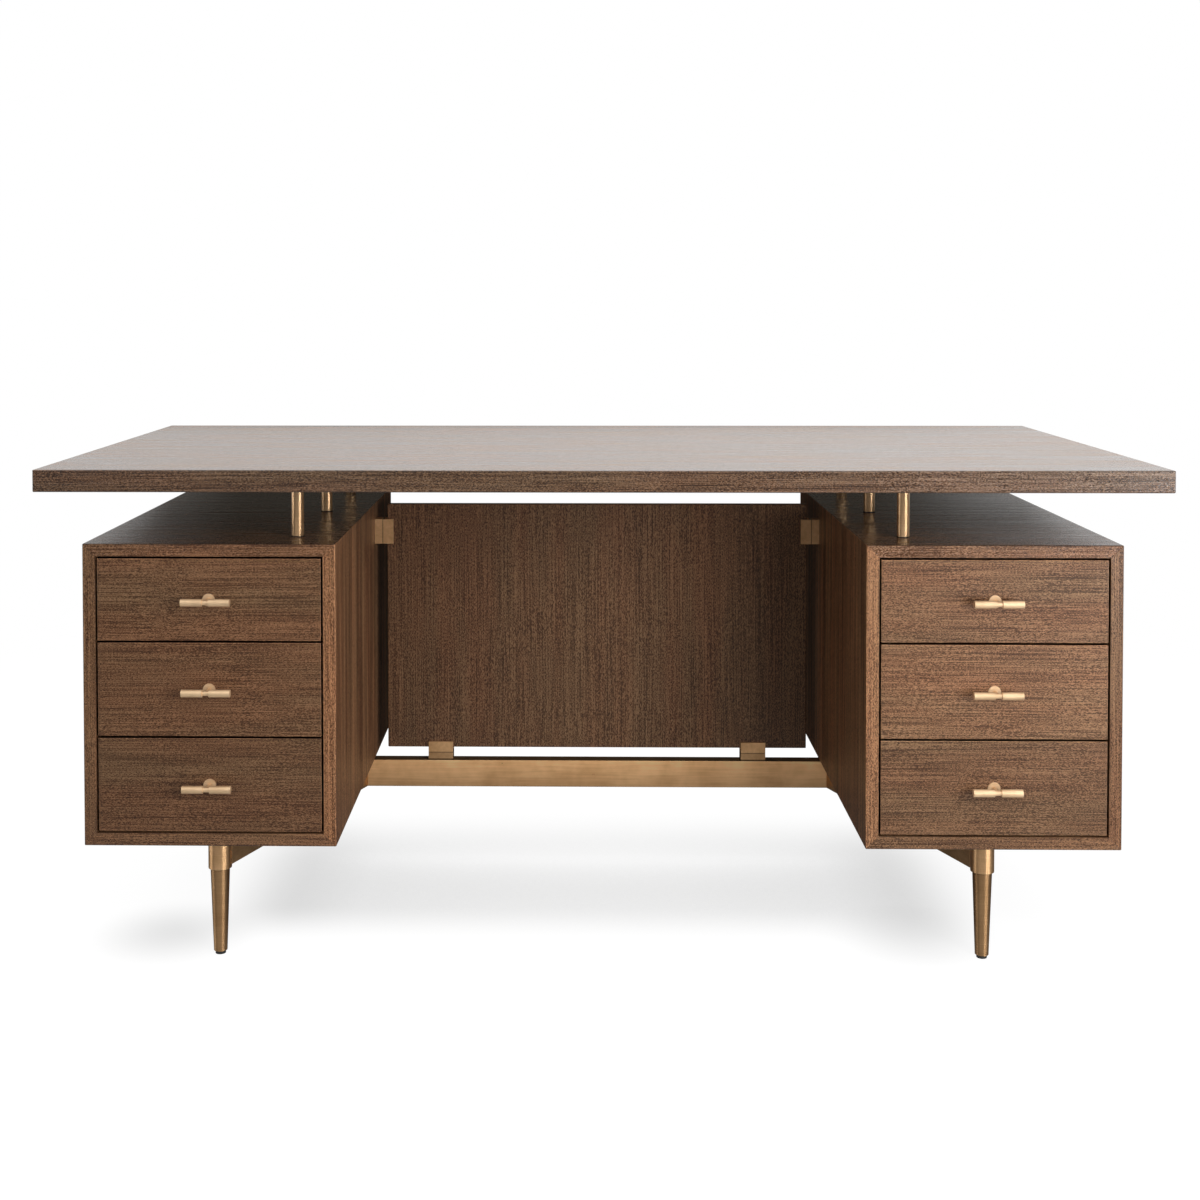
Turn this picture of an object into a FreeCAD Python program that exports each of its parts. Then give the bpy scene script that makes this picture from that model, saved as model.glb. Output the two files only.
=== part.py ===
import FreeCAD
import Part
import math
import os

# Double pedestal writing desk: a slab top stands on six slim posts over two drawer pedestals,
# and the pedestals ride on a low metal base of one cross beam, four splayed arms and four legs.
# Millimetres. X runs along the front, Y into the depth, Z up. The origin is on the floor,
# under the centre of the top.

Vector = FreeCAD.Vector

# Top
top_width = 1676.0
top_depth = 838.0
top_thickness = 33.0
top_edge_chamfer = 1.2

# Pedestals
pedestal_width = 381.0
pedestal_height = 457.0
floor_to_pedestal = 189.0
side_overhang = 60.0
front_overhang = 44.0
rear_overhang = 50.0
board_thickness = 19.0
back_thickness = 12.0
case_edge_chamfer = 1.0

# Posts between pedestal and top
post_height = 83.0
post_diameter = 19.0
post_side_inset = 70.0
post_front_inset = 84.0
post_rear_inset = 62.0
post_count = 3

# Drawer fronts
top_front_height = 124.0
front_thickness = 19.0
front_reveal = 3.0
front_edge_chamfer = 0.7

# Drawer boxes
box_side_thickness = 12.0
box_rear_gap = 113.0
box_below_front_top = 20.0
box_above_front_bottom = 12.0
bottom_thickness = 6.0
bottom_lift = 8.0
groove_depth = 5.0
groove_clearance = 0.1
box_back_inset = 10.0
tail_count = 3
tail_width_share = 0.58
tail_slope_share = 0.15

# Three-member drawer slides
slide_width = 12.7
slide_setback = 3.0
slide_gauge = 1.2
outer_member_height = 45.0
outer_member_flange = 9.8
middle_member_inset = 20.0
middle_member_height = 36.8
middle_member_offset = 2.0
middle_member_flange = 8.6
inner_member_height = 28.0
inner_member_flange = 7.5
ball_cage_length = 180.0
ball_cage_width = 3.4
ball_cage_clearance = 0.3
ball_cage_inset = 2.4

# Drawer pulls
pull_length = 73.0
pull_diameter = 11.5
pull_waist_length = 10.0
pull_waist_diameter = 7.4
pull_stem_diameter = 6.2
pull_reach = 25.0
rosette_diameter = 19.0
rosette_thickness = 2.4

# Modesty panel
panel_thickness = 19.0
panel_height = 438.0
panel_lift = 17.5
panel_side_gap = 22.0
panel_rear_inset = 243.0
panel_edge_chamfer = 1.0

# Panel clips
clip_base = 14.0
clip_reach = 33.0
clip_length = 44.0
clip_jaw = 3.6
clip_clearance = 0.15
clip_line_width = 0.9
clip_line_depth = 0.7
upper_clip_drop = 28.0
lower_clip_inset = 117.0

# Metal base
beam_depth = 27.0
beam_height = 48.0
beam_corner_offset = 15.0
tube_wall = 2.5
leg_inset = 68.0
plate_thickness = 5.0
plate_size = 92.0
collar_diameter = 36.0
collar_drop = 2.0
leg_top_diameter = 29.8
leg_bottom_diameter = 20.8
glide_height = 5.0
glide_diameter = 16.0

# Overrun of every cutting tool past the face that it opens
cut_over = 2.0

# Places worked out from the sizes
case_front_y = front_overhang - top_depth / 2
case_back_y = top_depth / 2 - rear_overhang
case_bottom_z = floor_to_pedestal
case_top_z = case_bottom_z + pedestal_height
slab_bottom_z = case_top_z + post_height
slab_top_z = slab_bottom_z + top_thickness
case_depth = case_back_y - case_front_y
case_outer_x = top_width / 2 - side_overhang
case_inner_x = case_outer_x - pedestal_width
case_center_x = (case_outer_x + case_inner_x) / 2
opening_width = pedestal_width - 2 * board_thickness
opening_height = pedestal_height - 2 * board_thickness
front_width = opening_width - 2 * front_reveal
lower_front_height = (opening_height - top_front_height - 4 * front_reveal) / 2
box_width = opening_width - 2 * slide_width
box_front_y = case_front_y + front_thickness
box_depth = case_depth - front_thickness - back_thickness - box_rear_gap
slide_length = box_depth - slide_setback
post_spacing = (case_depth - post_front_inset - post_rear_inset) / (post_count - 1)
panel_center_y = case_back_y - panel_rear_inset
panel_bottom_z = case_bottom_z + panel_lift
beam_top_z = case_bottom_z - plate_thickness
beam_bottom_z = beam_top_z - beam_height
beam_corner_x = case_inner_x + beam_corner_offset
beam_front_y = panel_center_y - beam_depth / 2
beam_back_y = panel_center_y + beam_depth / 2
leg_front_y = case_front_y + leg_inset
leg_back_y = case_back_y - leg_inset
collar_bottom_z = beam_bottom_z - collar_drop

# Each side of the desk by name, with its sign along X
sides = (("left", -1), ("right", 1))


def box_between(low, high):
    size = high - low
    return Part.makeBox(size.x, size.y, size.z, low)


def eased_box(low, high, chamfer):
    block = box_between(low, high)
    return block.makeChamfer(chamfer, block.Edges)


def prism(points, travel):
    """Extrudes the closed outline through points along the vector travel."""
    outline = Part.makePolygon(points + [points[0]])
    return Part.Face(outline).extrude(travel)


def rod(diameter, start, end):
    run = end - start
    return Part.makeCylinder(diameter / 2, run.Length, start, run)


def turned(profile, place, axis):
    """Turns a closed (radius, distance along the axis) profile about the axis through place."""
    points = [Vector(radius, 0, along) for radius, along in profile]
    outline = Part.makePolygon(points + [points[0]])
    solid = Part.Face(outline).revolve(Vector(0, 0, 0), Vector(0, 0, 1), 360)
    turn = FreeCAD.Rotation(Vector(0, 0, 1), axis)
    solid.Placement = FreeCAD.Placement(place, turn)
    return solid


def write_node(name, solids):
    shape = solids[0] if len(solids) == 1 else Part.makeCompound(solids)
    shape.exportStep("parts/" + name + ".step")


def post_places(sign):
    """Foot of each post of one pedestal, in a line near the pedestal's inner side."""
    x = sign * (case_inner_x + post_side_inset)
    first_y = case_front_y + post_front_inset
    return [Vector(x, first_y + step * post_spacing, case_top_z) for step in range(post_count)]


def desktop():
    low = Vector(-top_width / 2, -top_depth / 2, slab_bottom_z)
    high = Vector(top_width / 2, top_depth / 2, slab_top_z)
    return eased_box(low, high, top_edge_chamfer)


def post(foot):
    return rod(post_diameter, foot, foot + Vector(0, 0, post_height))


def case_ring(sign):
    """The four case boards as one eased sleeve, open in front and behind."""
    half = Vector(pedestal_width / 2, 0, 0)
    low = Vector(sign * case_center_x, case_front_y, case_bottom_z) - half
    high = Vector(sign * case_center_x, case_back_y, case_top_z) + half
    wall = Vector(board_thickness, -cut_over, board_thickness)
    return eased_box(low, high, case_edge_chamfer).cut(box_between(low + wall, high - wall))


def mitre_wedges(sign):
    """Prisms that part the sleeve along its four mitres, by board name."""
    center = sign * case_center_x
    outer = pedestal_width / 2
    inner = outer - board_thickness
    outer_low = case_bottom_z
    inner_low = case_bottom_z + board_thickness
    outer_high = case_top_z
    inner_high = case_top_z - board_thickness
    corners = {
        "top": ((-outer, outer_high), (outer, outer_high), (inner, inner_high), (-inner, inner_high)),
        "bottom": ((-outer, outer_low), (outer, outer_low), (inner, inner_low), (-inner, inner_low)),
        "left": ((-outer, outer_low), (-outer, outer_high), (-inner, inner_high), (-inner, inner_low)),
        "right": ((outer, outer_low), (outer, outer_high), (inner, inner_high), (inner, inner_low)),
    }
    wedges = {}
    depth = Vector(0, case_back_y - case_front_y + 2 * cut_over, 0)
    for name, outline in corners.items():
        points = [Vector(center + x, case_front_y - cut_over, z) for x, z in outline]
        wedges[name] = prism(points, depth)
    return wedges


def case_boards(sign):
    """Mitred case boards of one pedestal by name."""
    ring = case_ring(sign)
    wedges = mitre_wedges(sign)
    boards = {name: ring.common(wedge) for name, wedge in wedges.items()}
    inner_name = "right" if sign < 0 else "left"
    outer_name = "left" if sign < 0 else "right"
    return {"top": boards["top"], "bottom": boards["bottom"],
            "inner_side": boards[inner_name], "outer_side": boards[outer_name]}


def case_back(sign):
    """Back board, let in between the four case boards and flush with their rear edges."""
    half_width = opening_width / 2
    low = Vector(sign * case_center_x - half_width, case_back_y - back_thickness,
                 case_bottom_z + board_thickness)
    high = Vector(sign * case_center_x + half_width, case_back_y, case_top_z - board_thickness)
    return box_between(low, high)


def front_spans():
    """Name, bottom and top of each drawer front, from the top drawer down."""
    spans = []
    upper = case_top_z - board_thickness - front_reveal
    heights = (("top", top_front_height), ("middle", lower_front_height), ("bottom", lower_front_height))
    for name, height in heights:
        spans.append((name, upper - height, upper))
        upper = upper - height - front_reveal
    return spans


def drawer_front(center_x, bottom_z, top_z):
    half = Vector(front_width / 2, 0, 0)
    low = Vector(center_x, case_front_y, bottom_z) - half
    high = Vector(center_x, box_front_y, top_z) + half
    board = box_between(low, high)
    face_edges = [edge for edge in board.Edges if edge.BoundBox.YMax <= case_front_y + cut_over]
    return board.makeChamfer(front_edge_chamfer, face_edges)


def box_span(bottom_z, top_z):
    return bottom_z + box_above_front_bottom, top_z - box_below_front_top


def dovetails(side_x, toward, low_z, high_z):
    """Tails at the front end of one side board. They widen towards the end of the board."""
    pitch = (high_z - low_z) / tail_count
    root_half = pitch * tail_width_share / 2
    tip_half = root_half + box_side_thickness * tail_slope_share
    root_y = box_front_y + box_side_thickness
    across = Vector(toward * box_side_thickness, 0, 0)
    tails = []
    for step in range(tail_count):
        middle = low_z + (step + 0.5) * pitch
        points = [
            Vector(side_x, root_y, middle - root_half),
            Vector(side_x, box_front_y, middle - tip_half),
            Vector(side_x, box_front_y, middle + tip_half),
            Vector(side_x, root_y, middle + root_half),
        ]
        tails.append(prism(points, across))
    return tails


def drawer_box(center_x, bottom_z, top_z):
    """Two sides dovetailed to a sub-front, a back housed between them and a bottom board.

    The bottom slides in from behind, in grooves of the sides and the sub-front, under the back.
    """
    low_z, high_z = box_span(bottom_z, top_z)
    back_y = box_front_y + box_depth
    left_x = center_x - box_width / 2
    right_x = center_x + box_width / 2
    wall = box_side_thickness
    let_in = wall - groove_depth
    groove_low = low_z + bottom_lift - groove_clearance
    groove_high = low_z + bottom_lift + bottom_thickness + groove_clearance
    groove = box_between(Vector(left_x + let_in, box_front_y + let_in, groove_low),
                         Vector(right_x - let_in, back_y + cut_over, groove_high))
    back_low = Vector(left_x + let_in, back_y - box_back_inset - wall, groove_high)
    back_high = Vector(right_x - let_in, back_y - box_back_inset, high_z)
    back = box_between(back_low, back_high)
    boards = []
    all_tails = []
    for side_x, toward in ((left_x, 1), (right_x, -1)):
        inner_x = side_x + toward * wall
        low = Vector(min(side_x, inner_x), box_front_y + wall, low_z)
        high = Vector(max(side_x, inner_x), back_y, high_z)
        tails = dovetails(side_x, toward, low_z, high_z)
        all_tails.extend(tails)
        side = box_between(low, high).fuse(tails)
        boards.append(side.cut(groove).cut(back).removeSplitter())
    sub_front = box_between(Vector(left_x, box_front_y, low_z), Vector(right_x, box_front_y + wall, high_z))
    boards.append(sub_front.cut(all_tails).cut(groove))
    floor_low = Vector(left_x + let_in, box_front_y + let_in, low_z + bottom_lift)
    floor_high = Vector(right_x - let_in, back_y, low_z + bottom_lift + bottom_thickness)
    play = Vector(groove_clearance, groove_clearance, 0)
    side_play = Vector(groove_clearance, 0, 0)
    floor = box_between(floor_low + play, floor_high - side_play)
    return boards + [back, floor]


def pull(center_x, bottom_z, top_z):
    """T-bar pull: a bar with two thick grips and a waist, on a stem with a rosette at its foot."""
    face = Vector(center_x, case_front_y, (bottom_z + top_z) / 2)
    out = Vector(0, -1, 0)
    middle = face + out * pull_reach
    grip = pull_diameter / 2
    waist = pull_waist_diameter / 2
    half = pull_length / 2
    half_waist = pull_waist_length / 2
    profile = [(0, -half), (grip, -half), (grip, -half_waist), (waist, -half_waist)]
    profile += [(radius, -along) for radius, along in reversed(profile)]
    bar = turned(profile, middle, Vector(1, 0, 0))
    edge = rosette_diameter / 2
    radius = pull_stem_diameter / 2
    foot = [(0, 0), (edge, 0), (edge, rosette_thickness), (radius, rosette_thickness)]
    foot += [(radius, pull_reach), (0, pull_reach)]
    return [bar, turned(foot, face, out).cut(bar)]


def channel_outline(web, opening, half_height, flange):
    """Outline of a folded channel: its web and its two flanges, which point along opening."""
    inside = web + opening * slide_gauge
    end = web + opening * flange
    under = half_height - slide_gauge
    upper = [(web, half_height), (end, half_height), (end, under), (inside, under)]
    return upper + [(across, -rise) for across, rise in reversed(upper)]


def slide_member(wall_x, toward, center_z, outline, start_y, length):
    """A slide section swept along the depth. Outlines are measured from the case wall."""
    points = [Vector(wall_x + toward * across, start_y, center_z + rise) for across, rise in outline]
    return prism(points, Vector(0, length, 0))


def case_walls(center_x):
    """Where the slides of one pedestal are fixed, with the way from each wall to the drawer."""
    return ((center_x - opening_width / 2, 1), (center_x + opening_width / 2, -1))


def slide_height(bottom_z, top_z):
    low_z, high_z = box_span(bottom_z, top_z)
    return (low_z + high_z) / 2


def outer_slides(center_x, bottom_z, top_z):
    """Channels screwed to the case walls."""
    outline = channel_outline(0, 1, outer_member_height / 2, outer_member_flange)
    start_y = box_front_y + slide_setback
    center_z = slide_height(bottom_z, top_z)
    return [slide_member(wall_x, toward, center_z, outline, start_y, slide_length)
            for wall_x, toward in case_walls(center_x)]


def inner_slides(center_x, bottom_z, top_z):
    """Channels screwed to the drawer sides."""
    outline = channel_outline(slide_width, -1, inner_member_height / 2, inner_member_flange)
    center_z = slide_height(bottom_z, top_z)
    start_y = box_front_y + slide_setback
    return [slide_member(wall_x, toward, center_z, outline, start_y, slide_length)
            for wall_x, toward in case_walls(center_x)]


def ball_cages(wall_x, toward, center_z, start_y):
    """Ball cages on both faces of the middle member's flanges, towards each neighbour."""
    outer_face = middle_member_height / 2
    inner_face = outer_face - slide_gauge
    outer_race = outer_member_height / 2 - slide_gauge - ball_cage_clearance
    inner_race = inner_member_height / 2 + ball_cage_clearance
    outer_near = middle_member_offset + ball_cage_inset
    inner_near = slide_width - inner_member_flange + ball_cage_clearance
    cages = []
    for up in (1, -1):
        for face, race, near in ((outer_face, outer_race, outer_near), (inner_face, inner_race, inner_near)):
            far = near + ball_cage_width
            outline = [(near, up * face), (far, up * face), (far, up * race), (near, up * race)]
            cages.append(slide_member(wall_x, toward, center_z, outline, start_y, ball_cage_length))
    return cages


def middle_slides(center_x, bottom_z, top_z):
    """Channels that run between the other two at half the drawer's travel."""
    outline = channel_outline(middle_member_offset, 1, middle_member_height / 2, middle_member_flange)
    start_y = box_front_y + slide_setback + middle_member_inset
    length = slide_length - 2 * middle_member_inset
    cage_y = start_y + (length - ball_cage_length) / 2
    center_z = slide_height(bottom_z, top_z)
    members = []
    for wall_x, toward in case_walls(center_x):
        members.append(slide_member(wall_x, toward, center_z, outline, start_y, length))
        members.extend(ball_cages(wall_x, toward, center_z, cage_y))
    return members


def modesty_panel():
    half_width = case_inner_x - panel_side_gap
    low = Vector(-half_width, panel_center_y - panel_thickness / 2, panel_bottom_z)
    high = Vector(half_width, panel_center_y + panel_thickness / 2, panel_bottom_z + panel_height)
    return eased_box(low, high, panel_edge_chamfer)


def clip_outline():
    """Half of a clip's section, as (distance from its seat, distance from the panel's middle)."""
    slot = panel_thickness / 2 + clip_clearance
    outside = slot + clip_jaw
    line_start = clip_base - clip_line_width / 2
    line_end = clip_base + clip_line_width / 2
    floor = outside - clip_line_depth
    return [(0, outside), (line_start, outside), (line_start, floor), (line_end, floor),
            (line_end, outside), (clip_reach, outside), (clip_reach, slot), (clip_base, slot)]


def clip(seat, reach, length):
    """Slotted clip standing on seat along the way reach, as long as the vector length."""
    half = clip_outline()
    outline = half + [(along, -across) for along, across in reversed(half)]
    points = [seat - length / 2 + reach * along + Vector(0, across, 0) for along, across in outline]
    return prism(points, length)


def upper_clip_place(sign):
    """Seat on the pedestal's inner side, the way to the panel and the clip's length."""
    seat_z = case_top_z - upper_clip_drop - clip_length / 2
    seat = Vector(sign * case_inner_x, panel_center_y, seat_z)
    return seat, Vector(-sign, 0, 0), Vector(0, 0, clip_length)


def lower_clip_place(sign):
    """Seat on top of the cross beam, the way to the panel and the clip's length."""
    seat = Vector(sign * (case_inner_x - lower_clip_inset), panel_center_y, beam_top_z)
    return seat, Vector(0, 0, 1), Vector(clip_length, 0, 0)


def unit(vector):
    return vector * (1 / vector.Length)


def arm_line(sign, corner_y, leg_y, inset):
    """One long edge of an arm in plan: a point on it and its way towards the leg.

    The kneehole face runs from the beam's corner past the leg's axis at half the arm's width.
    The line lies inset further towards the pedestal.
    """
    corner = Vector(sign * beam_corner_x, corner_y, 0)
    leg = Vector(sign * case_center_x, leg_y, 0)
    to_leg = leg - corner
    lean = math.asin(beam_depth / 2 / to_leg.Length)
    turn = sign * lean if leg_y < corner_y else -sign * lean
    way = unit(to_leg)
    spun = Vector(way.x * math.cos(turn) + way.y * math.sin(turn),
                  way.y * math.cos(turn) - way.x * math.sin(turn), 0)
    outward = Vector(-spun.y, spun.x, 0)
    if outward.x * sign < 0:
        outward = outward * -1
    return corner + outward * inset, spun


def crossing(first, second):
    """Where two lines in plan meet, each given as a point and a way."""
    point, way = first
    other, other_way = second
    gap = other - point
    share = (gap.x * other_way.y - gap.y * other_way.x) / (way.x * other_way.y - way.y * other_way.x)
    return point + way * share


def arm_outline(sign, corner_y, leg_y, inset):
    """Plan of one arm, drawn in by inset, mitred on its neighbour and run to the leg's axis."""
    other_corner_y = beam_front_y + beam_back_y - corner_y
    other_leg_y = leg_front_y + leg_back_y - leg_y
    near = arm_line(sign, corner_y, leg_y, inset)
    far = arm_line(sign, corner_y, leg_y, beam_depth - inset)
    near_apex = crossing(near, arm_line(sign, other_corner_y, other_leg_y, inset))
    far_apex = crossing(far, arm_line(sign, other_corner_y, other_leg_y, beam_depth - inset))
    leg = Vector(sign * case_center_x, leg_y, 0)
    square = (leg, Vector(-near[1].y, near[1].x, 0))
    return [near_apex, crossing(near, square), crossing(far, square), far_apex]


def raised(points, z):
    return [Vector(point.x, point.y, z) for point in points]


def arm(sign, corner_y, leg_y):
    """Rectangular tube from the beam's end to a leg, ending on the leg's collar."""
    outside = prism(raised(arm_outline(sign, corner_y, leg_y, 0), beam_bottom_z),
                    Vector(0, 0, beam_height))
    hollow = prism(raised(arm_outline(sign, corner_y, leg_y, tube_wall), beam_bottom_z + tube_wall),
                   Vector(0, 0, beam_height - 2 * tube_wall))
    leg = Vector(sign * case_center_x, leg_y, beam_bottom_z)
    collar_space = rod(collar_diameter, leg, leg + Vector(0, 0, beam_height))
    if sign < 0:
        collar_space.rotate(leg, Vector(0, 0, 1), 180)
    return outside.cut(hollow).cut(collar_space)


def cross_beam():
    """Straight tube under the kneehole, its ends notched over the arms' mitres."""
    reach = beam_corner_x + beam_depth
    low = Vector(-reach, beam_front_y, beam_bottom_z)
    high = Vector(reach, beam_back_y, beam_top_z)
    wall = Vector(-cut_over, tube_wall, tube_wall)
    tube = box_between(low, high).cut(box_between(low + wall, high - wall))
    for _, sign in sides:
        for corner_y, leg_y in ((beam_front_y, leg_front_y), (beam_back_y, leg_back_y)):
            outline = raised(arm_outline(sign, corner_y, leg_y, 0), beam_bottom_z - cut_over)
            tube = tube.cut(prism(outline, Vector(0, 0, beam_height + 2 * cut_over)))
    return min(tube.Solids, key=lambda solid: abs(solid.CenterOfMass.x))


def mounting_plate(sign, leg_y):
    """Plate on top of a collar and its arm, under the pedestal's bottom board."""
    half = plate_size / 2
    low = Vector(sign * case_center_x - half, leg_y - half, beam_top_z)
    high = Vector(sign * case_center_x + half, leg_y + half, beam_top_z + plate_thickness)
    return box_between(low, high)


def collar(sign, leg_y):
    """Round end of an arm, welded into it, that stands on the leg."""
    foot = Vector(sign * case_center_x, leg_y, collar_bottom_z)
    return rod(collar_diameter, foot, foot + Vector(0, 0, beam_top_z - collar_bottom_z))


def leg(sign, leg_y):
    """Turned leg. Its taper is one straight spline from the glide up to the collar."""
    low = leg_bottom_diameter / 2
    high = leg_top_diameter / 2
    height = collar_bottom_z - glide_height
    bottom, top = Vector(0, 0, 0), Vector(0, 0, height)
    taper = Part.BSplineCurve()
    taper.buildFromPoles([Vector(low, 0, 0), Vector(high, 0, height)], False, 1)
    outline = Part.Wire([
        Part.makeLine(bottom, Vector(low, 0, 0)),
        taper.toShape(),
        Part.makeLine(Vector(high, 0, height), top),
        Part.makeLine(top, bottom),
    ])
    solid = Part.Face(outline).revolve(bottom, Vector(0, 0, 1), 360)
    solid.translate(Vector(sign * case_center_x, leg_y, glide_height))
    return solid


def glide(sign, leg_y):
    foot = Vector(sign * case_center_x, leg_y, 0)
    return rod(glide_diameter, foot, foot + Vector(0, 0, glide_height))


def write_top():
    write_node("desktop", [desktop()])
    for side, sign in sides:
        write_node(side + "_posts", [post(foot) for foot in post_places(sign)])


def write_pedestal(side, sign):
    for name, board in case_boards(sign).items():
        write_node(side + "_case_" + name, [board])
    write_node(side + "_case_back", [case_back(sign)])
    center_x = sign * case_center_x
    fixed_slides = []
    for level, bottom_z, top_z in front_spans():
        stem = side + "_" + level
        span = (center_x, bottom_z, top_z)
        write_node(stem + "_drawer_front", [drawer_front(*span)])
        write_node(stem + "_drawer_box", drawer_box(*span))
        write_node(stem + "_pull", pull(*span))
        write_node(stem + "_inner_slides", inner_slides(*span))
        write_node(stem + "_middle_slides", middle_slides(*span))
        fixed_slides += outer_slides(*span)
    write_node(side + "_outer_slides", fixed_slides)


def write_panel():
    write_node("modesty_panel", [modesty_panel()])
    write_node("upper_panel_clips", [clip(*upper_clip_place(sign)) for _, sign in sides])
    write_node("lower_panel_clips", [clip(*lower_clip_place(sign)) for _, sign in sides])


def write_base():
    write_node("cross_beam", [cross_beam()])
    corners = (("front", beam_front_y, leg_front_y), ("rear", beam_back_y, leg_back_y))
    places = [(sign, leg_y) for _, sign in sides for _, _, leg_y in corners]
    for side, sign in sides:
        for place, corner_y, leg_y in corners:
            write_node(side + "_" + place + "_arm", [arm(sign, corner_y, leg_y)])
    write_node("collars", [collar(*place) for place in places])
    write_node("mounting_plates", [mounting_plate(*place) for place in places])
    write_node("legs", [leg(*place) for place in places])
    write_node("glides", [glide(*place) for place in places])


def main():
    os.makedirs("parts", exist_ok=True)
    write_top()
    for side, sign in sides:
        write_pedestal(side, sign)
    write_panel()
    write_base()


main()
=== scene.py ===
import bpy
import math
from mathutils import Euler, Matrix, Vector


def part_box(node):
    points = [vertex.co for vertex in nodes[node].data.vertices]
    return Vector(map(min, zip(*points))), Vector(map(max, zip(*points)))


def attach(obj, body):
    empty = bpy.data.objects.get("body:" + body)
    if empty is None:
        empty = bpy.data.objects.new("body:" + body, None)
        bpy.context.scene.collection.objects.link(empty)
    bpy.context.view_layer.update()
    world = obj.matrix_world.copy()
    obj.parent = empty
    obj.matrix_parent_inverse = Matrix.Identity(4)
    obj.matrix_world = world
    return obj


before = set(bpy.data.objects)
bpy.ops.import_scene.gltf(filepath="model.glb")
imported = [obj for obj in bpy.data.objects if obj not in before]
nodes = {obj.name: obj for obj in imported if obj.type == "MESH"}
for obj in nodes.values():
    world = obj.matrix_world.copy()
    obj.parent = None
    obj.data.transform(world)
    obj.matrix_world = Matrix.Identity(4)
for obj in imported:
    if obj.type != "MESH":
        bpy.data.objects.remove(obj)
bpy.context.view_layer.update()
print("loaded", len(nodes), "parts of the desk")


# Small helpers for node trees

def feed(tree, node, inputs):
    # inputs are numbered or named sockets, each with a plain value or another node's output
    for key, value in inputs.items():
        if isinstance(value, bpy.types.NodeSocket):
            tree.links.new(value, node.inputs[key])
        else:
            node.inputs[key].default_value = value


def addNode(tree, kind, inputs=None, **settings):
    node = tree.nodes.new(kind)
    for key, value in settings.items():
        setattr(node, key, value)
    feed(tree, node, inputs or {})
    return node


def blankMaterial(name):
    material = bpy.data.materials.new(name)
    material.use_nodes = True
    tree = material.node_tree
    return material, tree, tree.nodes["Principled BSDF"]


def maths(tree, kind, *values):
    return addNode(tree, "ShaderNodeMath", dict(enumerate(values)), operation=kind).outputs[0]


def vectorMaths(tree, kind, *values):
    node = addNode(tree, "ShaderNodeVectorMath", dict(enumerate(values)), operation=kind)
    return node.outputs["Value" if kind == "LENGTH" else "Vector"]


def axesOf(tree, vector):
    return addNode(tree, "ShaderNodeSeparateXYZ", {0: vector}).outputs


def smoothStep(tree, value, limits, low=0.0, high=1.0):
    inputs = dict(enumerate((value, *limits, low, high)))
    return addNode(tree, "ShaderNodeMapRange", inputs, interpolation_type="SMOOTHSTEP").outputs[0]


def stretchedNoise(tree, place, scale, detail=2.0):
    # scale holds the number of features per metre along X, Y and Z
    stretched = vectorMaths(tree, "MULTIPLY", place, scale)
    inputs = {"Vector": stretched, "Scale": 1.0, "Detail": detail, "Roughness": 0.55}
    return addNode(tree, "ShaderNodeTexNoise", inputs).outputs["Fac"]


def ramp(tree, value, positions, colors):
    node = addNode(tree, "ShaderNodeValToRGB", {0: value})
    elements = node.color_ramp.elements
    while len(elements) < len(positions):
        elements.new(0.5)
    for element, position, color in zip(elements, positions, colors):
        element.position = position
        element.color = (*color, 1.0)
    return node.outputs[0]


# a mix node takes its share at socket 0, numbers at 2 and 3, vectors at 4 and 5, and colors at 6 and 7

def mixColors(tree, kind, share, first, second):
    if isinstance(second, tuple):
        second = (*second, 1.0)
    inputs = {0: share, 6: first, 7: second}
    return addNode(tree, "ShaderNodeMix", inputs, data_type="RGBA", blend_type=kind).outputs[2]


def mixNumbers(tree, share, first, second):
    return addNode(tree, "ShaderNodeMix", {0: share, 2: first, 3: second}, data_type="FLOAT").outputs[0]


def bumped(tree, height, strength, distance):
    inputs = {"Height": height, "Strength": strength, "Distance": distance}
    return addNode(tree, "ShaderNodeBump", inputs).outputs[0]


# Walnut: one veneer for every board, with a look of its own for each

# shares of a normal: from the first on a face looks along that axis, below the second it is an eased corner
facingFrom = 0.8
flatFrom = 0.94
drift = {"perMetre": 3.2, "detail": 1.0}
axisOrder = {"X": (0, 1, 2), "Y": (1, 0, 2), "Z": (2, 0, 1)}


def grainPlace(tree, shift, along, ends, waviness):
    # object coordinates with the grain's way first, so that one noise fits every board
    coords = addNode(tree, "ShaderNodeTexCoord").outputs
    parts = axesOf(tree, coords["Object"])

    def ordered(axis):
        inputs = {index: parts[source] for index, source in enumerate(axisOrder[axis])}
        return addNode(tree, "ShaderNodeCombineXYZ", inputs).outputs[0]

    place = ordered(along)
    if ends:
        size = maths(tree, "ABSOLUTE", axesOf(tree, coords["Normal"])[along])
        inputs = {0: maths(tree, "GREATER_THAN", size, facingFrom), 4: place, 5: ordered(ends)}
        place = addNode(tree, "ShaderNodeMix", inputs, data_type="VECTOR").outputs[1]
    place = vectorMaths(tree, "ADD", place, shift)
    # the grain wanders a little over a hand's length
    inputs = {"Vector": place, "Scale": drift["perMetre"], "Detail": drift["detail"]}
    sway = addNode(tree, "ShaderNodeTexNoise", inputs).outputs["Color"]
    reach = (0.0, 2 * waviness, 2 * waviness)
    sway = vectorMaths(tree, "MULTIPLY_ADD", sway, reach, (0.0, -waviness, -waviness))
    return vectorMaths(tree, "ADD", place, sway)


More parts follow.
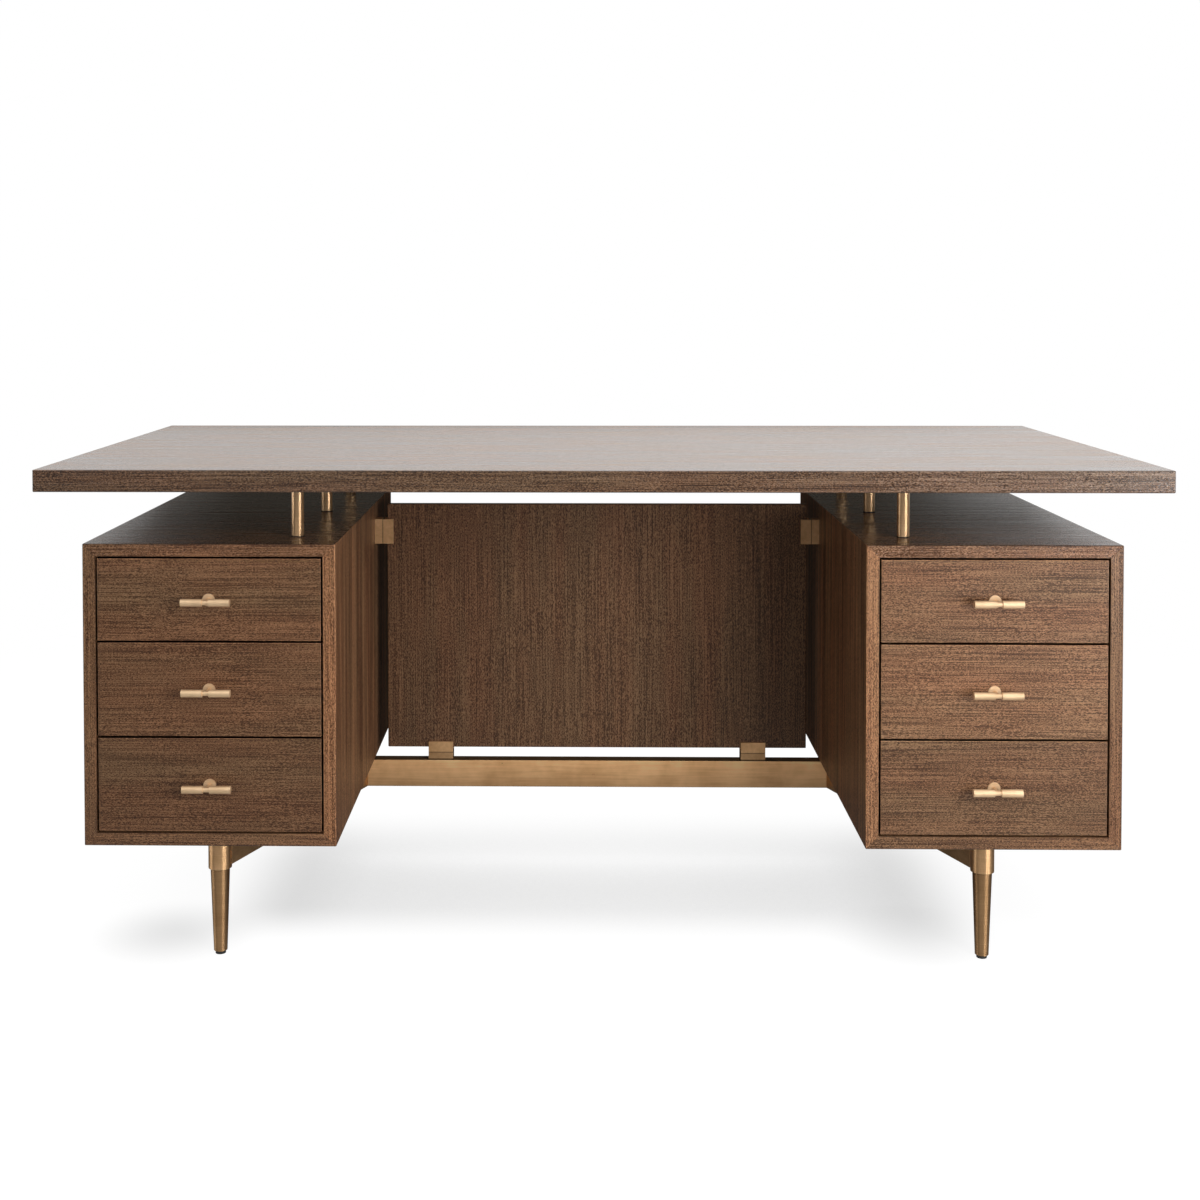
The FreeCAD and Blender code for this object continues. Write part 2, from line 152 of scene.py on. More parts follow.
walnut = {
    "dark": (0.066, 0.029, 0.014),
    "middle": (0.184, 0.088, 0.043),
    "light": (0.345, 0.186, 0.098),
    "shadeAt": (0.443, 0.50, 0.557),
    "olive": (0.97, 1.02, 1.0),
    "russet": (1.05, 0.98, 0.94),
    "hueAt": (0.38, 0.62),
    "pore": (0.034, 0.016, 0.009),
    "poreAt": (0.55, 0.70),
    "poreShare": 0.75,
    "dashesPerMetre": (400.0, 1250.0, 1250.0),
    "linesPerMetre": (6.0, 1000.0, 1000.0),
    "cloudsPerMetre": (6.0, 32.0, 32.0),
    "huesPerMetre": (2.3, 17.0, 17.0),
    "poresPerMetre": (210.0, 1000.0, 1000.0),
    "dashShare": 0.54,
    "lineShare": 0.43,
    "lift": 0.015,
    "cloudShare": 0.13,
    "frontClouds": 0.07,
    "tone": 1.0,
    "warmth": 0.0,
    # the next three tones paint light: front edges partly, narrow sides as painted shade, eased corners as
    # a painted highlight above 1 and a painted dark rim below 1
    "edgeToneAndLight": 1.0,
    "paintedSideShade": 1.0,
    "paintedCornerLight": 1.4,
    "roughness": 0.30,
    "glossSwing": 0.25,
    "gloss": 1.5,
    "waviness": 0.0025,
    "relief": 0.30,
    "reliefDepth": 0.0003,
    "poreSink": -0.8,
    "ripple": 0.0,
}


def walnutVeneer(name, along, shift, ends=None, **changes):
    look = {**walnut, **changes}
    material, tree, shader = blankMaterial(name)
    place = grainPlace(tree, shift, along, ends, look["waviness"])
    dashes = stretchedNoise(tree, place, look["dashesPerMetre"], detail=1.0)
    lines = stretchedNoise(tree, place, look["linesPerMetre"])
    clouds = stretchedNoise(tree, place, look["cloudsPerMetre"])
    hues = stretchedNoise(tree, place, look["huesPerMetre"])
    pores = stretchedNoise(tree, place, look["poresPerMetre"], detail=1.0)
    facing = axesOf(tree, addNode(tree, "ShaderNodeTexCoord").outputs["Normal"])
    sizes = [maths(tree, "ABSOLUTE", facing[axis]) for axis in "XYZ"]
    onFront = maths(tree, "LESS_THAN", facing["Y"], -facingFrom)

    # faces toward the sitter are of plainer veneer, with fewer clouds
    cloudShare = look["cloudShare"]
    share = maths(tree, "MULTIPLY_ADD", onFront, look["frontClouds"] - cloudShare, cloudShare)
    level = maths(tree, "MULTIPLY_ADD", lines, look["lineShare"], look["lift"])
    level = maths(tree, "MULTIPLY_ADD", dashes, look["dashShare"], level)
    level = maths(tree, "MULTIPLY_ADD", maths(tree, "SUBTRACT", clouds, 0.5), share, level)
    color = ramp(tree, level, look["shadeAt"], (look["dark"], look["middle"], look["light"]))
    tint = ramp(tree, hues, look["hueAt"], (look["olive"], look["russet"]))
    color = mixColors(tree, "MULTIPLY", 1.0, color, tint)
    poreShare = ramp(tree, pores, look["poreAt"], ((0.0,) * 3, (look["poreShare"],) * 3))
    color = mixColors(tree, "MIX", poreShare, color, look["pore"])
    tone, warmth = look["tone"], look["warmth"]
    color = mixColors(tree, "MULTIPLY", 1.0, color, (tone * (1.0 + warmth), tone, tone * (1.0 - warmth)))

    # a board's front edge has a tone of its own, partly its veneer and partly painted light; its other
    # narrow sides can take painted shade, as in the gaps between drawer fronts; its eased corners take a
    # painted highlight with a tone above 1 and a painted dark rim with one below
    onSide = maths(tree, "GREATER_THAN", maths(tree, "MAXIMUM", sizes[0], sizes[2]), flatFrom)
    largest = maths(tree, "MAXIMUM", maths(tree, "MAXIMUM", sizes[0], sizes[1]), sizes[2])
    onCorner = maths(tree, "LESS_THAN", largest, flatFrom)
    for where, part in ((onFront, "edgeToneAndLight"), (onSide, "paintedSideShade"), (onCorner, "paintedCornerLight")):
        color = mixColors(tree, "MULTIPLY", where, color, (look[part],) * 3)

    swing = look["glossSwing"]
    relief = maths(tree, "MULTIPLY_ADD", poreShare, look["poreSink"], dashes)
    relief = maths(tree, "MULTIPLY_ADD", clouds, look["ripple"], relief)
    feed(tree, shader, {
        "Base Color": color,
        "Roughness": maths(tree, "MULTIPLY_ADD", level, swing, look["roughness"] - swing / 2),
        "IOR": look["gloss"],
        "Normal": bumped(tree, relief, look["relief"], look["reliefDepth"]),
    })
    return material


maple = {
    "dark": (0.46, 0.31, 0.18),
    "light": (0.66, 0.49, 0.32),
    "shadeAt": (0.34, 0.64),
    "streaksPerMetre": (9.0, 190.0, 190.0),
    "bandsPerMetre": (0.9, 22.0, 22.0),
    "bandShare": 0.4,
    "waviness": 0.004,
    "roughness": 0.48,
    "relief": 0.15,
    "reliefDepth": 0.0002,
}


def paleHardwood(name, shift):
    # drawer boxes: grain along each side and, on faces seen from the front, across
    material, tree, shader = blankMaterial(name)
    place = grainPlace(tree, shift, "Y", "X", maple["waviness"])
    streaks = stretchedNoise(tree, place, maple["streaksPerMetre"], detail=3.0)
    bands = stretchedNoise(tree, place, maple["bandsPerMetre"], detail=1.0)
    level = maths(tree, "MULTIPLY", streaks, 1.0 - maple["bandShare"])
    level = maths(tree, "MULTIPLY_ADD", bands, maple["bandShare"], level)
    feed(tree, shader, {
        "Base Color": ramp(tree, level, maple["shadeAt"], (maple["dark"], maple["light"])),
        "Roughness": maple["roughness"],
        "Normal": bumped(tree, streaks, maple["relief"], maple["reliefDepth"]),
    })
    return material


# Brass: one satin finish, brushed or turned, with a look of its own for each kind of piece

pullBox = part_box("right_top_pull")
pull = {"middle": (pullBox[0][0] + pullBox[1][0]) / 2, "gripFrom": 0.0056, "gripTo": 0.0340,
        "linesPerMetre": 700.0}


def knurlRelief(tree, parts):
    # fine crossed lines round the two grips of a pull, with its waist and tips left smooth
    crossed = []
    for way in (1.0, -1.0):
        slanted = maths(tree, "MULTIPLY_ADD", parts["Z"], way, parts["X"])
        turns = maths(tree, "MULTIPLY", slanted, 2 * math.pi * pull["linesPerMetre"])
        crossed.append(maths(tree, "SINE", turns))
    fromMiddle = maths(tree, "SUBTRACT", maths(tree, "ABSOLUTE", parts["X"]), pull["middle"])
    fromMiddle = maths(tree, "ABSOLUTE", fromMiddle)
    onGrip = maths(tree, "MULTIPLY", maths(tree, "GREATER_THAN", fromMiddle, pull["gripFrom"]),
                   maths(tree, "LESS_THAN", fromMiddle, pull["gripTo"]))
    return maths(tree, "MULTIPLY", maths(tree, "MULTIPLY", *crossed), onGrip)


brass = {
    "dark": (0.47, 0.325, 0.190),
    "light": (0.66, 0.490, 0.315),
    "shadeAt": (0.36, 0.64),
    "patinaPerMetre": (22.0, 22.0, 22.0),
    "patinaShare": 0.65,
    "tone": 1.0,
    "redness": 0.0,
    "metal": 1.0,
    "roughness": 0.34,
    "glossSwing": 0.2,
    "relief": 0.10,
    "reliefDepth": 0.0002,
    "knurl": 0.0,
    "stretch": 0.0,
    "footShade": 0.0,
    "footLift": 0.6,
    "paintedTopShade": 1.0,
    "bands": (),
}


def satinBrass(name, brushed, **changes):
    # brushed holds the brush lines per metre along X, Y and Z
    look = {**brass, **changes}
    material, tree, shader = blankMaterial(name)
    coords = addNode(tree, "ShaderNodeTexCoord").outputs
    place = coords["Object"]
    parts = axesOf(tree, place)
    patina = stretchedNoise(tree, place, look["patinaPerMetre"], detail=3.0)
    lines = stretchedNoise(tree, place, brushed)
    level = maths(tree, "MULTIPLY", lines, 1.0 - look["patinaShare"])
    level = maths(tree, "MULTIPLY_ADD", patina, look["patinaShare"], level)
    tone, redness = look["tone"], look["redness"]
    wash = (tone, tone * (1 - redness), tone * (1 - 2 * redness))
    shades = [tuple(part * share for part, share in zip(look[shade], wash)) for shade in ("dark", "light")]
    color = ramp(tree, level, look["shadeAt"], shades)

    # darker bands between two heights: a seam's dark line, and painted shade, as on a lower clip's lower
    # half and foot and on a leg just under its collar
    for axis, low, high, bandTone in look["bands"]:
        reach = maths(tree, "ABSOLUTE", parts[axis])
        past = maths(tree, "GREATER_THAN", reach, low)
        within = maths(tree, "MULTIPLY", past, maths(tree, "LESS_THAN", reach, high))
        color = mixColors(tree, "MULTIPLY", within, color, (bandTone,) * 3)
    footShade = look["footShade"]
    if footShade:
        # painted shade: the beam's face darkens from its upper to its lower edge
        low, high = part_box("cross_beam")
        rise = maths(tree, "MULTIPLY_ADD", parts["Z"], 1 / (high[2] - low[2]), -low[2] / (high[2] - low[2]))
        fade = maths(tree, "MULTIPLY_ADD", rise, footShade, 1.0 - look["footLift"] * footShade)
        shade = addNode(tree, "ShaderNodeCombineXYZ", {0: fade, 1: fade, 2: fade})
        color = mixColors(tree, "MULTIPLY", 1.0, color, shade.outputs[0])
    # painted shade on faces that look up, as on the beam's dark top
    onTop = maths(tree, "GREATER_THAN", axesOf(tree, coords["Normal"])["Z"], facingFrom)
    color = mixColors(tree, "MULTIPLY", onTop, color, (look["paintedTopShade"],) * 3)

    swing = look["glossSwing"]
    relief = lines
    if look["knurl"]:
        relief = maths(tree, "MULTIPLY_ADD", knurlRelief(tree, parts), look["knurl"], lines)
    feed(tree, shader, {
        "Base Color": color,
        "Metallic": look["metal"],
        "Roughness": maths(tree, "MULTIPLY_ADD", level, swing, look["roughness"] - swing / 2),
        "Normal": bumped(tree, relief, look["relief"], look["reliefDepth"]),
    })
    if look["stretch"]:
        # fine rings from the lathe draw a highlight out along the upright axis
        upright = addNode(tree, "ShaderNodeCombineXYZ", {2: 1.0})
        feed(tree, shader, {"Tangent": upright.outputs[0], "Anisotropic": look["stretch"]})
    return material


zinc = {"dark": (0.42, 0.43, 0.44), "light": (0.62, 0.63, 0.63), "shadeAt": (0.35, 0.65),
        "spanglesPerMetre": (120.0, 30.0, 120.0), "roughness": 0.25, "glossSwing": 0.2}


def zincSteel():
    material, tree, shader = blankMaterial("slideZinc")
    place = addNode(tree, "ShaderNodeTexCoord").outputs["Object"]
    spangle = stretchedNoise(tree, place, zinc["spanglesPerMetre"])
    feed(tree, shader, {
        "Base Color": ramp(tree, spangle, zinc["shadeAt"], (zinc["dark"], zinc["light"])),
        "Metallic": 1.0,
        "Roughness": maths(tree, "MULTIPLY_ADD", spangle, zinc["glossSwing"], zinc["roughness"]),
    })
    return material


nylon = {"dark": (0.012, 0.011, 0.010), "light": (0.03, 0.028, 0.026), "shadeAt": (0.3, 0.7),
         "grainsPerMetre": (900.0, 900.0, 900.0), "roughness": 0.55}


def blackNylon():
    material, tree, shader = blankMaterial("glideNylon")
    place = addNode(tree, "ShaderNodeTexCoord").outputs["Object"]
    grit = stretchedNoise(tree, place, nylon["grainsPerMetre"])
    feed(tree, shader, {
        "Base Color": ramp(tree, grit, nylon["shadeAt"], (nylon["dark"], nylon["light"])),
        "Roughness": nylon["roughness"],
    })
    return material


# Edges: the CAD solids keep their meshes, and modifiers ease their corners

easing = {"segments": 2, "from": math.radians(28.0), "weld": 0.00002, "slivers": 0.000002}


def easeEdges(node, width, segments):
    mesh = node.data
    if "custom_normal" in mesh.attributes:
        mesh.attributes.remove(mesh.attributes["custom_normal"])
    for polygon in mesh.polygons:
        polygon.use_smooth = True
    weld = node.modifiers.new("weld", "WELD")
    weld.merge_threshold = easing["weld"]
    bevel = node.modifiers.new("ease", "BEVEL")
    bevel.width = width
    bevel.segments = segments
    bevel.limit_method = "ANGLE"
    bevel.angle_limit = easing["from"]
    bevel.harden_normals = True
    bevel.miter_outer = "MITER_ARC"
    # slivers that the bevel leaves at some corners are closed again
    slivers = node.modifiers.new("slivers", "WELD")
    slivers.merge_threshold = easing["slivers"]


def dress(node, material, ease, segments=easing["segments"]):
    node.data.materials.clear()
    node.data.materials.append(material)
    if ease:
        easeEdges(node, ease, segments)


# the top's front edge is darker, partly its own edge and partly painted shade, and its eased corners carry
# a painted dark rim
top = {
    "along": "X", "ends": "Y", "shift": (3.1, 7.7, 1.3), "ease": 0.0011,
    "look": {"warmth": -0.06, "edgeToneAndLight": 0.70, "paintedCornerLight": 0.5, "roughness": 0.20, "glossSwing": 1.1,
             "gloss": 1.78, "cloudsPerMetre": (5.0, 60.0, 60.0), "cloudShare": 0.40, "ripple": 5.0},
}
finish = walnutVeneer("topWalnut", top["along"], top["shift"], top["ends"], **top["look"])
dress(nodes["desktop"], finish, top["ease"])
print("desktop dressed")

# the case boards' front edges have tones of their own, partly painted light; their eased corners carry a
# painted dark rim, and on the inner sides and backs a painted highlight
caseBoards = {
    "case_top": {
        "along": "X", "ease": 0.0008,
        "look": {"tone": 0.85, "warmth": 0.05, "edgeToneAndLight": 1.10, "paintedCornerLight": 0.5, "roughness": 0.25,
                 "glossSwing": 0.6, "gloss": 1.62, "cloudsPerMetre": (5.0, 60.0, 60.0), "cloudShare": 0.35},
    },
    "case_bottom": {
        "along": "X", "ease": 0.0006,
        "look": {"warmth": 0.05, "edgeToneAndLight": 0.95, "paintedCornerLight": 0.7},
    },
    "case_inner_side": {
        "along": "Z", "ease": 0.0010,
        "look": {"warmth": 0.06, "paintedCornerLight": 1.9, "roughness": 0.48, "gloss": 1.42,
                 "cloudsPerMetre": (1.5, 70.0, 70.0), "cloudShare": 0.45},
    },
    "case_outer_side": {
        "along": "Z", "ease": 0.0008,
        "look": {"warmth": 0.05, "edgeToneAndLight": 0.95, "paintedCornerLight": 0.5},
    },
    "case_back": {
        "along": "Z", "ease": 0.0004,
        "look": {"tone": 0.9, "roughness": 0.36},
    },
}
# the inner sides' tones and front-edge tones differ by side as painted light and shade
innerSideLight = {"left": {"tone": 1.15, "edgeToneAndLight": 1.24}, "right": {"tone": 1.26, "edgeToneAndLight": 1.02}}
boardCuts = {"start": (0.0, 0.0, 0.0), "perPiece": (2.3, 1.7, 0.9), "perSide": (5.1, 1.0, 0.0)}
frontCuts = {"start": (11.0, 0.0, 0.0), "perPiece": (3.3, 0.31, 0.13), "perSide": (9.7, 2.0, 0.0)}
# the fronts' tones are painted light and shade, lighter on the right pedestal and darkest on the bottom
# fronts; their narrow sides take painted shade as in the dark gaps, and their eased corners a painted
# highlight
fronts = {"ease": 0.0007, "paintedLightTones": {"left": (0.91, 0.87, 0.80), "right": (0.98, 1.08, 0.86)},
          "look": {"paintedSideShade": 0.06, "paintedCornerLight": 2.2, "roughness": 0.36, "gloss": 1.42}}
sides = ("left", "right")
levels = ("top", "middle", "bottom")


def cutFrom(cuts, piece, side):
    # each board and front takes a place of its own in the veneer
    return tuple(start + piece * alongPiece + side * alongSide
                 for start, alongPiece, alongSide in zip(cuts["start"], cuts["perPiece"], cuts["perSide"]))


slideFinish = zincSteel()
for number, side in enumerate(sides):
    for step, (part, board) in enumerate(caseBoards.items()):
        look = board["look"]
        if part == "case_inner_side":
            look = {**look, **innerSideLight[side]}
        name = side + part.title().replace("_", "")
        finish = walnutVeneer(name, board["along"], cutFrom(boardCuts, step, number), **look)
        dress(nodes[side + "_" + part], finish, board["ease"])
    for step, level in enumerate(levels):
        stem = side + "_" + level
        shift = cutFrom(frontCuts, step, number)
        tone = fronts["paintedLightTones"][side][step]
        finish = walnutVeneer(side + level.title() + "Front", "X", shift, tone=tone, **fronts["look"])
        dress(nodes[stem + "_drawer_front"], finish, fronts["ease"])
        dress(nodes[stem + "_drawer_box"], paleHardwood(side + level.title() + "Box", shift), 0)
        dress(nodes[stem + "_inner_slides"], slideFinish, 0)
        dress(nodes[stem + "_middle_slides"], slideFinish, 0)
    dress(nodes[side + "_outer_slides"], slideFinish, 0)
print("pedestals and drawers dressed")

panel = {
    "along": "Z", "ends": "X", "shift": (21.0, 4.2, 8.8), "ease": 0.0004,
    "look": {"tone": 0.75, "frontClouds": 0.01, "roughness": 0.42, "gloss": 1.42,
             "dashesPerMetre": (300.0, 900.0, 900.0), "linesPerMetre": (5.0, 900.0, 900.0)},
}
finish = walnutVeneer("panelWalnut", panel["along"], panel["shift"], panel["ends"], **panel["look"])
dress(nodes["modesty_panel"], finish, panel["ease"])
print("modesty panel dressed")

# a seam's half width, the seams' heights, and the reach of painted shade lines at a lower clip's foot and
# just under a collar
seamsAndShadeLines = {"half": 0.0008, "upperClip": 0.383, "lowerClip": 0.198, "clipFootShade": 0.0026, "underCollarShade": 0.0018}


def seamBand(axis, place, tone):
    return axis, place - seamsAndShadeLines["half"], place + seamsAndShadeLines["half"], tone


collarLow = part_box("collars")[0][2]
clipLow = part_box("lower_panel_clips")[0][2]
turned = {"brushed": (40.0, 40.0, 1200.0), "relief": 0.15, "stretch": 0.92, "roughness": 0.38}
clip = {"brushed": (160.0, 160.0, 160.0), "tone": 1.32, "roughness": 0.38}
metalLooks = {
    "pull": {"brushed": (60.0, 900.0, 900.0), "tone": 1.57, "redness": 0.03, "roughness": 0.46,
             "metal": 0.5, "knurl": 0.5},
    "post": {**turned, "tone": 1.60, "redness": 0.10, "metal": 0.85},
    # the leg's dark band just under the collar is a painted shade line
    "leg": {**turned, "tone": 0.80, "redness": 0.18, "roughness": 0.44,
            "bands": (("Z", collarLow - seamsAndShadeLines["underCollarShade"], collarLow, 0.25),)},
    "collar": {**turned, "tone": 1.35, "redness": 0.15},
    # the beam's dark top and its darkening towards its lower edge are painted shade
    "beam": {"brushed": (12.0, 300.0, 300.0), "tone": 1.58, "redness": 0.20, "roughness": 0.31,
             "metal": 0.55, "relief": 0.05, "paintedTopShade": 0.25, "footShade": 0.5},
    "arm": {"brushed": (150.0, 150.0, 400.0), "tone": 0.95, "redness": 0.18, "roughness": 0.36,
            "metal": 0.85},
    "upperClip": {**clip, "redness": 0.17, "metal": 0.55,
                  "bands": (seamBand("X", seamsAndShadeLines["upperClip"], 0.35),)},
    # a lower clip's lower half and its foot are darkened as painted shade; the line at its seam is a dark
    # joint
    "lowerClip": {**clip, "redness": 0.19, "metal": 0.75,
                  "bands": (("Z", 0.0, seamsAndShadeLines["lowerClip"], 0.75), seamBand("Z", seamsAndShadeLines["lowerClip"], 0.5),
                            ("Z", 0.0, clipLow + seamsAndShadeLines["clipFootShade"], 0.2))},
}
metals = {part: satinBrass(part + "Brass", **look) for part, look in metalLooks.items()}
# the finish of each node, and how far its edges are eased
metalNodes = {
    "legs": ("leg", 0.0022),
    "collars": ("collar", 0.0028),
    "mounting_plates": ("arm", 0.0006),
    "cross_beam": ("beam", 0.0012),
    "upper_panel_clips": ("upperClip", 0.0002),
    "lower_panel_clips": ("lowerClip", 0.0002),
}
for side in sides:
    metalNodes[side + "_posts"] = ("post", 0.0005)
    metalNodes[side + "_front_arm"] = ("arm", 0.0012)
    metalNodes[side + "_rear_arm"] = ("arm", 0.0012)
    for level in levels:
        metalNodes[side + "_" + level + "_pull"] = ("pull", 0.0011)
for name, (part, ease) in metalNodes.items():
    dress(nodes[name], metals[part], ease)
glide = {"ease": 0.0016, "segments": 3}
nylonFinish = blackNylon()
dress(nodes["glides"], nylonFinish, glide["ease"], glide["segments"])
print("metal dressed")


# Small fittings: screws and the posts' washers

def turnedRings(rings, segments, tip=None):
    # rings are (radius by angle, height) from the foot up; with a tip the shape closes on its axis, at the
    # foot too, and without one the last ring joins the first
    points = []
    faces = []
    for radiusAt, height in rings:
        for step in range(segments):
            turn = 2 * math.pi * step / segments
            radius = radiusAt(turn)
            points.append(Vector((radius * math.cos(turn), radius * math.sin(turn), height)))
    rim = (len(rings) - 1) * segments
    strips = len(rings) if tip is None else len(rings) - 1
    for low in range(0, strips * segments, segments):
        high = (low + segments) % len(points)
        for step in range(segments):
            beside = (step + 1) % segments
            faces.append((low + step, low + beside, high + beside, high + step))
    if tip is not None:
        foot = len(points)
        points += [Vector((0.0, 0.0, rings[0][1])), Vector((0.0, 0.0, tip))]
        for step in range(segments):
            beside = (step + 1) % segments
            faces += [(beside, step, foot), (rim + step, rim + beside, foot + 1)]
    return points, faces


fitting = {"segments": 48, "sharpFrom": math.radians(35.0)}
# pairs are shares of a screw head's radius and height; reach and slot shape the cross in its recess
screw = {
    "dome": ((1.0, 0.0), (1.0, 0.35), (0.95, 0.62), (0.82, 0.86), (0.68, 1.0)),
    "recess": ((1.0, 1.0), (0.75, 0.35)),
    "reach": 0.60, "slot": 0.15, "bottom": 0.25, "onArm": 0.01,
}


def plain(radius):
    return lambda turn: radius


def crossed(radius):
    # outline of a cross recess around the screw's axis
    def radiusAt(turn):
        quarter = math.pi / 2
        fromArm = abs((turn + quarter / 2) % quarter - quarter / 2)
        across = radius * screw["slot"] / max(math.sin(fromArm), screw["onArm"])
        return min(radius * screw["reach"] / math.cos(fromArm), across)

    return radiusAt


def screwHead(radius, height):
    rings = [(plain(radius * share), height * rise) for share, rise in screw["dome"]]
    rings += [(crossed(radius * share), height * rise) for share, rise in screw["recess"]]
    return turnedRings(rings, fitting["segments"], height * screw["bottom"])


def washer(inner, outer, height, easeShare):
    ease = min(height, outer - inner) * easeShare
    outline = ((inner, 0.0), (outer, 0.0), (outer, height - ease), (outer - ease, height), (inner, height))
    return turnedRings([(plain(radius), rise) for radius, rise in outline], fitting["segments"])


def makeFittings(name, body, material, shape, places):
    # one mesh of many like pieces, each stood on its place along its own way out
    points, faces = shape
    allPoints = []
    allFaces = []
    for place, way in places:
        turn = Vector(way).to_track_quat("Z", "Y")
        start = len(allPoints)
        allPoints += [turn @ point + Vector(place) for point in points]
        allFaces += [tuple(start + index for index in face) for face in faces]
    mesh = bpy.data.meshes.new(name)
    mesh.from_pydata(allPoints, [], allFaces)
    mesh.materials.append(material)
    mesh.shade_smooth()
    mesh.set_sharp_from_angle(angle=fitting["sharpFrom"])
    piece = bpy.data.objects.new(name, mesh)
    bpy.context.scene.collection.objects.link(piece)
    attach(piece, body)


postWasher = {"outer": 0.0100, "height": 0.0014, "easeShare": 0.3}
slideScrew = {"radius": 0.0030, "height": 0.0014, "along": (0.030, 0.215, 0.400, 0.570), "fromSide": 0.0063}
frontScrew = {"radius": 0.0046, "height": 0.0022, "across": 0.105, "rise": 0.026, "lift": 0.004,
              "fromFront": 0.012}

for side in sides:
    low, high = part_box(side + "_posts")
    postRadius = (high[0] - low[0]) / 2
    postX = (low[0] + high[0]) / 2
    postYs = (low[1] + postRadius, (low[1] + high[1]) / 2, high[1] - postRadius)
    makeFittings(side + "PostWashers", "desk", nylonFinish,
                 washer(postRadius, **postWasher), [((postX, y, low[2]), (0, 0, 1)) for y in postYs])
    for level in levels:
        stem = side + "_" + level
        low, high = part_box(stem + "_inner_slides")
        middleZ = (low[2] + high[2]) / 2
        ends = ((low[0] + slideScrew["fromSide"], -1), (high[0] - slideScrew["fromSide"], 1))
        places = [((x, low[1] + y, middleZ), (way, 0, 0)) for y in slideScrew["along"] for x, way in ends]
        makeFittings(side + level.title() + "SlideScrews", stem + "_drawer", slideFinish,
                     screwHead(slideScrew["radius"], slideScrew["height"]), places)
        low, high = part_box(stem + "_drawer_box")
        insideY = low[1] + frontScrew["fromFront"]
        middleX = (low[0] + high[0]) / 2
        middleZ = (low[2] + high[2]) / 2 + frontScrew["lift"]
        spots = [(x * frontScrew["across"], z * frontScrew["rise"]) for x in (-1, 1) for z in (-1, 1)]
        places = [((middleX + x, insideY, middleZ + z), (0, 1, 0)) for x, z in (*spots, (0.0, 0.0))]
        makeFittings(side + level.title() + "FrontScrews", stem + "_drawer", slideFinish,
                     screwHead(frontScrew["radius"], frontScrew["height"]), places)

plateScrew = {"radius": 0.0042, "height": 0.0026, "out": 0.037, "fromPlateSide": 0.046}
low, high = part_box("mounting_plates")
legX = high[0] - plateScrew["fromPlateSide"]
legYs = (low[1] + plateScrew["fromPlateSide"], high[1] - plateScrew["fromPlateSide"])
aroundLeg = ((1, 0), (-1, 0), (0, 1), (0, -1))
places = [((x + across * plateScrew["out"], y + along * plateScrew["out"], low[2]), (0, 0, -1))
          for x in (-legX, legX) for y in legYs for across, along in aroundLeg]
makeFittings("plateScrews", "desk", metals["arm"],
             screwHead(plateScrew["radius"], plateScrew["height"]), places)

clipScrew = {"radius": 0.0032, "height": 0.0016, "fromSeat": (0.0070, 0.0240), "fromSide": 0.022}
low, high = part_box("upper_panel_clips")
middleZ = (low[2] + high[2]) / 2
places = [((x, high[1], middleZ), (0, 1, 0))
          for out in clipScrew["fromSeat"] for x in (low[0] + out, high[0] - out)]
low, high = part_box("lower_panel_clips")
clipXs = (low[0] + clipScrew["fromSide"], high[0] - clipScrew["fromSide"])
places += [((x, high[1], low[2] + out), (0, 1, 0)) for out in clipScrew["fromSeat"] for x in clipXs]
makeFittings("clipScrews", "desk", metals["upperClip"],
             screwHead(clipScrew["radius"], clipScrew["height"]), places)
print("screws and washers set")


# Floor, light and camera

# an entry with a pair of limits has the grays at them after it; mirroredUnder is a share of mirroredFront
floor = {
    "size": 60.0, "color": 0.13, "shadowShare": 0.07, "shadowReach": 0.75, "shadowSamples": 16,
    "whiteFrom": (1.3, 2.6),
    "mirroredFront": ((-1.6, -0.8), 0.08, 0.34),
    "mirroredUnder": ((-0.30, -0.16), 1.0, 0.07 / 0.34),
    "mirroredBack": ((0.9, 3.5), 0.0, 1.0),
    "closeness": ((0.10, 0.90), 0.62, 1.0),
    "shadowSides": ((0.50, 0.66), 1.0, 0.15),
    "shadowFront": ((-0.28, -0.10), 0.0, 1.0),
    "shadowBack": ((0.10, 0.45), 1.0, 0.2),
    "pools": ((-0.68, -0.23, 0.22), (0.50, -0.23, 0.18)), "poolReach": 0.16,
}


